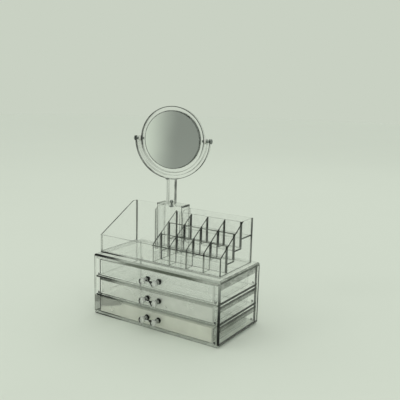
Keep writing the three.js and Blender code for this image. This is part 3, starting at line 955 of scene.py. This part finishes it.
@dataclass
class Handle:
    """A drawer's handle: two turned posts, a bar between them and a screw in each post."""

    front: float = -59.6
    half: float = 11.0
    rise: float = 13.55
    bar_reach: float = -70.1
    screw_head: float = -54.5

    def build(self, level: "Level") -> None:
        """Builds the handle and its screws for one drawer."""
        height = level.floor + self.rise
        grip, post = [self.post(f"post_{x}", x, height) for x in (-self.half, self.half)]
        bar = turned("bar", Vector((-self.half, self.bar_reach, height)), (1, 0, 0), [
            (0.0, 1.9), (4.2, 1.9), (4.9, 2.0), (10.0, 1.75), (12.0, 1.75), (17.1, 2.0), (17.8, 1.9),
            (22.0, 1.9),
        ], 24)
        grip.combine(post, "UNION")
        grip.combine(bar, "UNION")
        grip.item.name = grip.item.data.name = f"{level.key}_drawer_handle"
        self.dress(grip)
        grip.smooth(40)
        grip.join(level.body, "handle_clear", f"{level.key}_handle")
        for side, x in (("left", -self.half), ("right", self.half)):
            self.screw(level, side, x, height)

    def dress(self, grip: Workpiece) -> None:
        """Paints shade on the posts' feet, on the bar and on the left of each head, and paints a glint on the
        heads.
        """
        grip.dress(Kind.HANDLE_PLASTIC, Kind.HANDLE_PAINTED_SHADE, Kind.HANDLE_PAINTED_GLINT)
        with grip:
            # Painted glint on the heads, then painted shade on the feet, the bar and the left side of each
            # head.
            grip.paint(2, lambda at, out: at.y < self.front - 12.0)
            grip.paint(1, lambda at, out: at.y > self.front - 5.0
                       or abs(at.x) < self.half - 4.3 and out.z > 0.45
                       or at.y < self.front - 11.0 and self.past_post(at.x) < -1.3)

    def past_post(self, x: float) -> float:
        """Gives how far a place lies to the right of the nearer post's axis, in millimetres."""
        return x - math.copysign(self.half, x)

    def post(self, name: str, x: float, height: float) -> Workpiece:
        """Turns one post, with a foot, a waist, a bead and a domed head."""
        return turned(name, Vector((x, self.front, height)), (0, -1, 0), [
            (0.2, 4.3), (0.5, 4.6), (1.4, 4.55), (2.0, 4.2), (4.4, 3.95), (7.0, 3.85), (9.4, 3.85),
            (10.4, 4.0), (11.0, 4.5), (11.6, 5.05), (12.2, 5.2),
            *rounded(1.4, 5.2, 15.99, 5), (15.99, 2.6),
        ], 36)

    def screw(self, level: "Level", side: str, x: float, height: float) -> None:
        """Turns one pan-headed screw with a cross recess, its head inside the drawer."""
        start = Vector((x, self.screw_head, height))
        screw = turned(f"{level.key}_{side}_screw", start, (0, -1, 0), [
            (0.0, 0.9), (0.25, 1.9), (0.6, 2.55), (1.1, 2.95), (1.8, 3.0), (1.8001, 1.5), (12.3, 1.5),
            (13.1, 0.8),
        ], 24)
        for wide, tall in ((3.0, 0.7), (0.7, 3.0)):
            low = mm(x - wide / 2, -55.4, height - tall / 2)
            high = mm(x + wide / 2, -54.0, height + tall / 2)
            screw.combine(Workpiece.block("recess", low, high), "DIFFERENCE")
        # The screw's head wears the darker copy of the nickel, as painted shade at the post's foot.
        screw.dress(Kind.NICKEL_PLATE, Kind.PAINTED_SHADE_NICKEL)
        with screw:
            screw.paint(1, lambda at, out: at.y > -56.4)
        screw.smooth(30)
        screw.join(level.body, "steel", f"{level.key}_handle_{side}_screw")


@dataclass(frozen=True)
class Level:
    """One drawer's place: its word in the nodes' names, its underside's height and its finishes.

    The finishes are those of the walls, the front and the front's upper rim.
    """

    key: str
    floor: float
    kinds: tuple[Kind, Kind, Kind]

    @property
    def body(self) -> str:
        """The body that the drawer is."""
        return f"drawer_{self.key}"


LEVELS = (
    Level("lower", 4.3, (Kind.LOWER_DRAWER_PLASTIC, Kind.LOWER_DRAWER_FRONT, Kind.SHELF_FAINT_RIM)),
    Level("middle", 35.3, (Kind.MIDDLE_DRAWER_PLASTIC, Kind.MIDDLE_DRAWER_FRONT, Kind.SHELF_RIM)),
    Level("upper", 66.3, (Kind.UPPER_DRAWER_PLASTIC, Kind.UPPER_DRAWER_FRONT, Kind.UPPER_DRAWER_FRONT)),
)


@dataclass
class Drawer:
    """A moulded drawer: a tub with a taller front, and a handle."""

    half: float = 109.0
    front: float = -59.6
    back: float = 44.0
    wall: float = 2.0
    front_wall: float = 3.0
    side_top: float = 23.6
    front_top: float = 27.1
    near: float = 0.1
    handle: Handle = field(default_factory=Handle)

    def build(self, level: Level) -> None:
        """Builds the tub of one level, and its handle."""
        floor = level.floor
        inside, side, back = self.front + self.front_wall, self.half - self.wall, self.back - self.wall
        tub = Workpiece.block(
            f"{level.key}_drawer_tub", mm(-self.half, self.front, floor),
            mm(self.half, self.back, floor + self.side_top),
        )
        walls, plate, rim = level.kinds
        tub.dress(walls, Kind.BLACK_LINE, Kind.DRAWER_EDGE, Kind.DRAWER_FAINT_EDGE, plate, rim)
        with tub:
            for axis, place in ((1, inside), (1, back), (0, -side), (0, side)):
                tub.slice(axis, place)
            tub.faces(lambda at, out: out.z > SQUARE and at.y < inside)
            tub.extrude(mm(0, 0, self.front_top - self.side_top))
            tub.faces(lambda at, out: (
                out.z > SQUARE and inside < at.y < back and abs(at.x) < side))
            tub.extrude(mm(0, 0, self.wall - self.side_top))
            for rise in (self.wall, self.front_top - self.front_wall):
                tub.slice(2, floor + rise)
            tub.paint_all(*self.trim(floor, inside))
            tub.flatten(delimit={"MATERIAL"})
            tub.edges(lambda a, b: abs(a.z - b.z) > 5 and abs(a.x) > self.half - 3)
            tub.bevel(0.8, 3)
            low = floor + 0.01
            tub.edges(lambda a, b: a.z < low and b.z < low)
            tub.bevel(0.6, 3)
            for slot, sign in ((1, -1), (3, 1)):
                tub.paint(slot, lambda at, out: (
                    at.x * sign > self.half - 0.9 and abs(out.x) > 0.3 and out.y < -ROUNDED))
            tub.sharp(60)
            tub.bevel(0.35, 2)
            tub.paint_all(*self.settle(floor, inside))
            tub.face_out()
        tub.smooth(35)
        tub.join(level.body, f"{level.key}_drawer_clear", f"{level.key}_drawer")
        self.handle.build(level)

    def trim(self, floor: float, inside: float) -> list[Touch]:
        """Lists the finishes of the open tub's front, rims and ends.

        Args:
            floor: The height of its underside, in millimetres.
            inside: The front's inner face.

        Returns:
            The slots with the tests of their faces, each over those before it.
        """
        front, up = towards(1, -1, SQUARE), towards(2, 1, SQUARE)
        low, side, back = floor + self.wall, self.half - self.wall, self.back - self.wall
        rim, high = floor + self.front_top - self.front_wall, floor + 20
        return [
            (4, lambda at, out: abs(out.y) > SQUARE and at.y < inside + self.near),
            (3, lambda at, out: up(at, out) and at.z > high),
            (2, lambda at, out: up(at, out) and at.z > high and at.y < inside),
            (2, lambda at, out: front(at, out) and at.z < low),
            (3, lambda at, out: abs(out.x) > SQUARE and abs(at.x) > self.half - self.near and (
                at.y < inside or at.y > back or at.z < low)),
            (1, lambda at, out: (
                out.x < -SQUARE and at.x < self.near - self.half and at.y < inside)),
            (1, lambda at, out: front(at, out) and at.y < inside and at.x < -side),
            (3, lambda at, out: front(at, out) and at.y < inside and at.x > side),
            (5, lambda at, out: (
                front(at, out) and at.y < inside and abs(at.x) < side and at.z > rim)),
        ]


    def settle(self, floor: float, inside: float) -> list[Touch]:
        """Lists the finishes of small faces for which a bevel may choose either neighbour's.

        Args:
            floor: The height of the tub's underside, in millimetres.
            inside: The front's inner face.

        Returns:
            The slots with the tests of the front's upright lines and the corners behind it.
        """
        side, rim = self.half - self.wall, floor + self.front_top - self.front_wall

        def on_line(at: Vector, out: Vector) -> bool:
            """Tells whether a face of the front lies on the line between its middle and its end."""
            return out.y < -SQUARE and abs(abs(at.x) - side) < 0.2 and floor + self.wall < at.z < rim

        return [
            (3, lambda at, out: on_line(at, out) and at.x > 0),
            (4, lambda at, out: on_line(at, out) and at.x < 0),
            (4, lambda at, out: -0.85 < abs(at.x) - side < 0.3 and -0.1 < at.y - inside < 0.85),
        ]


@dataclass
class Tray:
    """The open tray with its lipstick rack and the pocket for the mirror's base."""

    bars: tuple[Span, ...] = ((-48.9, -46.9), (-31.6, -27.6), (-11.2, -7.0), (6.8, 10.2))
    side_bars: tuple[Span, ...] = ((-30.6, -28.4), (-10.4, -8.0))
    wall_bars: tuple[Span, ...] = ((-7.7, -6.7), (108.6, 111.7))
    left_bar: Span = (40.6, 41.8)
    right_bar: Span = (40.0, 41.8)
    rack_left: float = -10.0
    front_rim: float = 130.9
    wall_rims: Triple = (145.1, 159.3, 180.0)
    seams: tuple[Triple, ...] = ((-29.0, -9.5, 118.8), (-9.5, 11.0, 133.8), (11.0, 40.0, 148.8))
    seam_half: float = 1.3
    inner_face: float = 112.1

    def build(self) -> None:
        """Builds every sheet of the tray."""
        self.build_outside()
        self.build_rack()
        for ending, across in (("", 0), ("_lip", 1)):
            for side in ("left", "right"):
                self.make(
                    Sheet(f"pocket_{side}{ending}", across), Kind.TRAY_EDGE,
                    (Kind.TRAY_END_EDGE, Kind.TRAY_FAINT_EDGE), (3, towards(1, 1)), (3, towards(0, 1)),
                )

    def on_seam(self, place: Vector) -> bool:
        """Tells whether a place is on the stair-shaped seam of the right end's inner face."""
        return place.x < self.inner_face and any(
            start < place.y < end and abs(place.z - rise) < self.seam_half for start, end, rise in self.seams)

    def build_outside(self) -> None:
        """Builds the floor, the front, the back and the two ends."""
        dark, faint = Kind.TRAY_END_EDGE, Kind.TRAY_FAINT_EDGE
        self.make(Sheet("tray_floor", 2), faint, (Kind.TRAY_FOOT,), (2, towards(1, -1)))
        rim = (2, lambda place: place.x > self.rack_left and place.z > self.front_rim)
        self.make(
            Sheet("tray_front", 1, ((0, self.rack_left), (2, self.front_rim)), patches=(rim,)),
            Kind.TRAY_EDGE, (Kind.RACK_LINE,),
        )
        self.make(Sheet("tray_back", 1), faint)
        self.make(
            Sheet("tray_left_end", 0, bars=(self.left_bar,)), dark, (dark, Kind.TRAY_EDGE),
            (3, lambda at, out: out.y < -0.8 or out.z < -0.4),
        )
        cuts = [cut for start, _, rise in self.seams for cut in (
            (1, start), (2, rise - self.seam_half), (2, rise + self.seam_half))]
        self.make(
            Sheet("tray_right_end", 0, tuple(cuts), (self.right_bar,), ((1, self.on_seam),)), dark,
            (dark, faint), (3, towards(2, 1, SQUARE)),
        )

    def build_rack(self) -> None:
        """Builds the rack's side, dividers, walls and stepped floors."""
        left, right, faint = towards(0, -1), towards(0, 1), Kind.TRAY_FAINT_EDGE
        for node in ("rack_side", "rack_divider_1", "rack_divider_2", "rack_divider_3"):
            bars = self.side_bars if node == "rack_side" else self.bars
            self.make(
                Sheet(node, 0, bars=bars), Kind.RACK_LINE, (Kind.RACK_BAR,),
                (2, lambda at, out: abs(out.y) > 0.8 or out.z < -0.4),
            )
        for row, rim in enumerate(self.wall_rims, 1):
            above = (1, lambda place: place.z > rim)
            self.make(
                Sheet(f"rack_wall_{row}", 1, ((2, rim),), self.wall_bars, (above,)), Kind.RACK_WALL_TOP,
                (Kind.RACK_END, faint), (2, left), (2, right),
                (3, lambda at, out: row == 3 and out.z > 0.4),
            )
            self.make(Sheet(f"rack_step_{row}", 2), faint, (Kind.RACK_END,), (2, left), (2, right))

    def make(self, sheet: Sheet, edge: Kind, others: tuple[Kind, ...] = (), *touches: Touch) -> None:
        """Builds one sheet with its edges' finish and further ones on some of them."""
        sheet.make("tray", "tray_clear", (Kind.TRAY_ACRYLIC, edge, *others), touches)


@dataclass
class MirrorStand:
    """The mirror's hollow base and the swivel peg in its top."""

    left: float = -52.0
    right: float = -2.0
    front: float = 17.6
    back: float = 39.6
    foot: float = 105.1
    top: float = SWIVEL[2]
    wall: float = 2.0
    top_wall: float = 3.0
    ball: float = 3.0
    ball_rise: float = 3.4
    neck: float = 1.6

    def build(self) -> None:
        """Builds the base and the peg."""
        self.build_base()
        self.build_peg()

    def build_base(self) -> None:
        """Builds the base: a box that is hollow from below, with a hole for the peg."""
        base = Workpiece.block(
            "mirror_base_box", mm(self.left, self.front, self.foot), mm(self.right, self.back, self.top),
        )
        base.dress(Kind.MIRROR_BASE_PLASTIC, Kind.MIRROR_EDGE, Kind.MIRROR_FAINT_EDGE, Kind.MIRROR_BASE_LINE)
        with base:
            base.faces(towards(2, -1, SQUARE))
            base.inset(self.wall)
            base.extrude(mm(0, 0, self.top - self.top_wall - self.foot))
            base.slice(2, self.top - self.top_wall)
            for x in (self.left + self.wall, self.right - self.wall):
                base.slice(0, x)
            base.slice(1, self.back - self.wall)
            base.paint(2, lambda at, out: out.z < -SQUARE and at.z < self.foot + 1)
            base.edges(lambda a, b: abs(a.z - b.z) > 20)
            base.bevel(1.0, 4)
            base.sharp(60)
            base.bevel(0.9, 3)
            base.paint_all(*self.lines())
        drill(base, Vector((*SWIVEL[:2], self.top - 6)), (0, 0, 1), [(0.0, 1.75), (9.0, 1.75)], 24)
        base.smooth(35)
        base.join("mirror_stand", "mirror_clear", "mirror_base")

    def lines(self) -> list[Touch]:
        """Lists the dark and faint lines down the base's corners and round its top."""
        left, right, back = self.left + self.wall, self.right - self.wall, self.back - self.wall
        high = self.top - 2
        return [
            (2, lambda at, out: min(abs(out.x), abs(out.y)) > ROUNDED and at.z < high),
            (3, lambda at, out: abs(out.x) > ROUNDED and out.x * out.y > 0.1 and at.z < high),
            (3, lambda at, out: at.z < high and (
                at.x < left and out.y < -SQUARE
                or at.x > right and out.y > SQUARE
                or at.y > back and out.x > SQUARE)),
            (2, lambda at, out: at.z < high and at.x > right and out.y < -SQUARE),
            (2, lambda at, out: at.z > self.top - 1.0 and out.z < 0.95),
            (1, lambda at, out: at.z > self.top - self.top_wall and not left < at.x < right),
        ]

    def build_peg(self) -> None:
        """Builds the peg: a collar, a neck and a ball."""
        under_ball = self.ball_rise - math.sqrt(self.ball ** 2 - self.neck ** 2)
        angles = [math.radians(t) for t in range(-50, 90, 10)]
        ball = [(self.ball_rise + self.ball * math.sin(a), self.ball * math.cos(a)) for a in angles]
        peg = turned("swivel_ball_peg", Vector(SWIVEL), (0, 0, 1), [
            (-4.8, 3.7), (-4.5, 4.0), (-3.6, 4.0), (-3.3, 3.7), (-3.29, self.neck), (under_ball, self.neck),
            *ball, (6.39, 0.2),
        ], 32)
        peg.dress(Kind.NICKEL_PLATE)
        peg.smooth(40)
        peg.join("mirror_stand", "steel", "swivel_peg")


@dataclass
class MirrorHead:
    """The stem, the yoke and the round mirror that tilts in it, made square on and then turned."""

    turn: float = 15.0
    rise: float = 104.8
    ring: float = 53.49
    glass: float = 46.5
    web: float = 1.3
    half: float = 4.0
    yoke_inner: float = 57.0
    yoke_outer: float = 63.5
    ear_rise: float = 4.0
    stem_half: float = 7.0
    stem_depth: float = 5.0
    stem_top: float = 36.0
    stem_end: float = 44.3
    flare: float = 3.0
    flare_start: float = 38.3
    flare_steps: int = 5

    @property
    def middle(self) -> Vector:
        """The mirror's middle, in metres."""
        return mm(SWIVEL[0], SWIVEL[1], SWIVEL[2] + self.rise)

    def hang(self, piece: Workpiece, body: str, slot: str, node: str) -> None:
        """Turns a finished piece to the side, moves it to the mirror's middle and joins it."""
        piece.turned_to(self.turn, self.middle)
        piece.join(body, slot, node)

    def build(self) -> None:
        """Builds every piece of the head."""
        self.build_stem()
        self.build_yoke()
        self.build_ring()
        self.build_glasses()
        self.build_pivots()

    def build_stem(self) -> None:
        """Builds the stem: a square bar that flares into the yoke and has a socket for the ball."""
        width, height = self.stem_half, self.stem_top
        stem = Workpiece.block(
            "stem_bar", mm(-width, -self.stem_depth, 0.3), mm(width, self.stem_depth, height))
        stem.dress(Kind.MIRROR_FRAME_PLASTIC, Kind.MIRROR_EDGE, Kind.MIRROR_FAINT_EDGE)
        with stem:
            stem.faces(towards(2, 1, SQUARE))
            for step in range(self.flare_steps + 1):
                angle = math.pi / 2 * step / self.flare_steps
                wider = self.stem_half + self.flare - self.flare * math.cos(angle)
                higher = self.flare_start + self.flare * math.sin(angle)
                stem.extrude(mm(0, 0, higher - height))
                stem.grow((wider / width, 1.0, 1.0), mm(0, 0, higher))
                width, height = wider, higher
            stem.extrude(mm(0, 0, self.stem_end - height))
            stem.sharp(40)
            stem.bevel(1.4, 3)
            stem.paint_all(
                (2, lambda at, out: min(abs(out.x), abs(out.y)) > ROUNDED),
                (1, lambda at, out: out.x > SQUARE or max(out.x, out.y) < -ROUNDED
                    or out.z < -ROUNDED and at.z > 20 or at.z > 41),
            )
        drill(stem, Vector((0, 10, self.rise)), (0, -1, 0), [(0.0, 63.7), (20.0, 63.7)], 144)
        drill(stem, Vector((0, 0, -2)), (0, 0, 1), [(0.0, 3.3), (7.4, 3.3), (8.7, 2.4)])
        stem.smooth(35)
        stem.turned_to(self.turn, mm(*SWIVEL))
        stem.join("mirror_yoke", "mirror_clear", "stem")

    def build_yoke(self) -> None:
        """Builds the yoke: a rounded bar spun a little past a half turn, with holes for the pivots."""
        reach = (self.yoke_inner + self.yoke_outer) / 2
        lift = math.degrees(math.asin(self.ear_rise / reach))
        yoke = Workpiece.plane(
            "mirror_yoke_arm", mm(self.yoke_inner, -self.half, 0), mm(self.yoke_outer, self.half, 0),
        )
        yoke.dress(Kind.MIRROR_FRAME_PLASTIC, Kind.MIRROR_EDGE, Kind.MIRROR_SOFT_LINE)
        with yoke:
            yoke.points(lambda place: True)
            yoke.bevel(1.1, 3, points=True)
            yoke.everything()
            bpy.ops.transform.rotate(value=math.radians(lift), orient_axis="Y", center_override=ORIGIN)
            yoke.spin(180 + 2 * lift, 96, ORIGIN, (0.0, -1.0, 0.0))
            yoke.tidy()
        with yoke:
            ends = self.ear_rise - 0.91
            yoke.edges(lambda a, b: (
                max(abs(a.y), abs(b.y)) < 3.2 and abs(a.y - b.y) > 3 and a.z > ends))
            yoke.bevel(2.4, 5)
            yoke.paint_all(
                (2, lambda at, out: ROUNDED < abs(out.y) < 0.97),
                (1, lambda at, out: -0.97 < out.y < -ROUNDED and off_axis(at) > reach
                    or at.x < -15.0 and off_axis(at) > self.yoke_outer - 0.3),
            )
        drill(yoke, Vector((-70, 0, 0)), (1, 0, 0), [(0.0, 2.3), (140.0, 2.3)])
        yoke.smooth(35)
        self.hang(yoke, "mirror_yoke", "mirror_clear", "yoke")

    def build_ring(self) -> None:
        """Builds the ring: a rounded band with a web that carries the two glasses back to back."""
        seat = self.glass + 0.2
        ring = Workpiece.plane("mirror_ring_band", mm(seat, -self.half, 0), mm(self.ring, self.half, 0))
        ring.dress(Kind.MIRROR_FRAME_PLASTIC, Kind.MIRROR_RING_LINE, Kind.MIRROR_SOFT_LINE)
        with ring:
            for y in (-self.web, self.web):
                ring.slice(1, y)
            ring.edges(lambda a, b: max(a.x, b.x) < seat + 0.01 and max(abs(a.y), abs(b.y)) < self.web + 0.01)
            ring.extrude(mm(43.5 - seat, 0, 0))
            ring.faces(lambda at, out: True)
            bpy.ops.mesh.dissolve_faces(use_verts=False)
            ring.points(lambda place: abs(place.y) > 3.9 and place.x > seat + 1)
            ring.bevel(1.1, 3, points=True)
            ring.points(lambda place: abs(place.y) > 3.9 and place.x < seat + 0.1)
            ring.bevel(0.4, 2, points=True)
            ring.faces(lambda at, out: True)
            bpy.ops.mesh.delete(type="ONLY_FACE")
            bpy.ops.mesh.select_mode(type="EDGE")
            ring.everything()
            ring.spin(360, 144, ORIGIN, (0.0, 1.0, 0.0))
            ring.tidy()
            ring.paint_all(
                (2, lambda at, out: ROUNDED < abs(out.y) < 0.97 or off_axis(at) < seat + 0.2),
                (1, lambda at, out: -0.97 < out.y < -ROUNDED and off_axis(at) > self.glass + 3.5
                    or at.x < -20.0 and off_axis(at) > self.ring - 0.3),
            )
        for start in (-self.ring - 2, self.ring - 4):
            drill(ring, Vector((start, 0, 0)), (1, 0, 0), [(0.0, 2.15), (6.0, 2.15)])
        ring.smooth(35)
        self.hang(ring, "mirror_head", "mirror_clear", "mirror_ring")

    def build_glasses(self) -> None:
        """Builds the front glass with its ground bevel, and a turned copy for the back."""
        for side, degrees in (("front", 0.0), ("back", 180.0)):
            glass = turned(f"{side}_glass", ORIGIN, (0, -1, 0), [
                (1.5, 46.2), (1.7, self.glass), (3.3, self.glass), (3.6, 46.3), (self.half, 45.5),
            ], 144)
            glass.dress(Kind.SILVERED_GLASS, Kind.MIRROR_GROUND_EDGE)
            with glass:
                glass.paint(1, lambda at, out: abs(out.y) < 0.95)
            glass.smooth(20)
            glass.turned_to(degrees, ORIGIN)
            self.hang(glass, "mirror_head", "mirror_face", f"mirror_{side}")

    def build_pivots(self) -> None:
        """Builds the bushes between ring and yoke, and the pins with their domed, slotted heads."""
        for side, sign in (("left", -1), ("right", 1)):
            axis = (sign, 0, 0)
            bush = turned(f"{side}_pivot_bush", ORIGIN, axis, [
                (53.8, 4.2), (54.1, 4.5), (54.6, 4.5), (54.9, 4.3), (55.6, 4.3), (55.9, 4.5), (56.4, 4.5),
                (56.7, 4.2),
            ], 40)
            drill(bush, ORIGIN, axis, [(53.0, 2.3), (58.0, 2.3)], 40)
            bush.dress(Kind.MILKY_NYLON)
            bush.smooth(35)
            self.hang(bush, "mirror_yoke", "nylon", f"{side}_bush")
            pin = turned(f"{side}_pivot_screw", ORIGIN, axis, [
                (49.8, 1.6), (50.2, 2.0), (63.79, 2.0), (63.8, 3.8), (64.0, 4.0), (64.9, 4.0),
                *rounded(1.1, 4.0, 66.0, 5),
            ], 36)
            slot_box = Workpiece.block("slot", mm(64.9, -3, -0.45), mm(67, 3, 0.45))
            slot_box.turned_to(0.0 if sign > 0 else 180.0, ORIGIN)
            pin.combine(slot_box, "DIFFERENCE")
            pin.dress(Kind.NICKEL_PLATE)
            pin.smooth(30)
            self.hang(pin, "mirror_head", "steel", f"{side}_pivot_pin")


@dataclass
class Studio:
    """The pale floor, the soft lamps and the camera at the photograph's angle."""

    backdrop: Triple = (201, 209, 195)
    lamps: tuple[tuple[str, Triple, float, float], ...] = (
        ("key", (-1.1, -1.5, 1.7), 0.5, 4.0),
        ("fill", (1.7, -0.9, 1.2), 0.4, 2.0),
        ("back", (-0.3, 1.7, 1.6), 0.4, 2.0),
    )
    azimuth: float = 32.57
    elevation: float = 10.91
    roll: float = 1.47
    distance: float = 0.93254
    lens: float = 54.68
    target: Triple = (0.04298, 0.0, 0.20153)

    def build(self) -> None:
        """Sets up the whole studio."""
        self.build_floor()
        self.build_world()
        for lamp in self.lamps:
            self.hang(*lamp)
        self.build_camera()

    def build_floor(self) -> None:
        """Builds the floor, a wide round sheet of matt board."""
        floor = Workpiece.disc("studio_floor", Vector((0, 0, -0.0002)), 6.0, (0, 0, 0), 96)
        with floor:
            floor.everything()
            floor.extrude(Vector((0, 0, -0.01)))
            floor.tidy()
        floor.dress(Kind.MATT_BOARD)

    def build_world(self) -> None:
        """Lights the room evenly, and shows the backdrop to the camera and to reflections."""
        world = bpy.data.worlds.new("studio")
        bpy.context.scene.world = world
        world.use_nodes = True
        book = NodeBook(world.node_tree)
        light = book.node("ShaderNodeBackground", None, {"Color": WHITE, "Strength": 0.95})
        shown = book.node("ShaderNodeBackground", None, {"Color": colour(*self.backdrop), "Strength": 1.0})
        rays = [book.node("ShaderNodeLightPath", output=name) for name in
                ("Is Camera Ray", "Is Glossy Ray", "Is Transmission Ray")]
        book.finish(book.layered((rays[0] + rays[1] + rays[2]).held(), light, shown))

    def hang(self, name: str, place: Triple, size: float, power: float) -> None:
        """Hangs one soft square lamp that points at the object.

        Args:
            name: The lamp's name.
            place: Its place, in metres.
            size: Its width, in metres.
            power: Its power, in watts.
        """
        data = bpy.data.lights.new(name, "AREA")
        data.size = size
        data.energy = power
        lamp = bpy.data.objects.new(name, data)
        bpy.context.scene.collection.objects.link(lamp)
        lamp.location = place
        aim = Vector((0.0, 0.0, 0.15)) - Vector(place)
        lamp.rotation_euler = aim.to_track_quat("-Z", "Y").to_euler()

    def build_camera(self) -> None:
        """Sets the camera at the photograph's angle."""
        azimuth, elevation, roll = (math.radians(a) for a in (self.azimuth, self.elevation, self.roll))
        level = math.cos(elevation)
        back = Vector((math.sin(azimuth) * level, -math.cos(azimuth) * level, math.sin(elevation)))
        right = (-back).cross(Vector((0, 0, 1))).normalized()
        up = right.cross(-back)
        across = right * math.cos(roll) + up * math.sin(roll)
        upwards = -right * math.sin(roll) + up * math.cos(roll)
        data = bpy.data.cameras.new("camera")
        data.lens = self.lens
        data.sensor_width = 36.0
        camera = bpy.data.objects.new("camera", data)
        bpy.context.scene.collection.objects.link(camera)
        rotation = Matrix((across, upwards, back)).transposed()
        place = Vector(self.target) + back * self.distance
        camera.matrix_world = Matrix.Translation(place) @ rotation.to_4x4()
        bpy.context.scene.camera = camera


def main() -> None:
    """Builds the organizer from the table up, and then the studio round it."""
    logging.basicConfig(level=logging.INFO, format="%(name)s: %(message)s")
    scene = bpy.context.scene
    scene.view_settings.view_transform = "Standard"
    scene.cycles.transparent_max_bounces = 96
    Case().build()
    for level in LEVELS:
        Drawer().build(level)
    for group in (Tray(), MirrorStand(), MirrorHead(), Studio()):
        group.build()


if __name__ == "__main__":
    main()
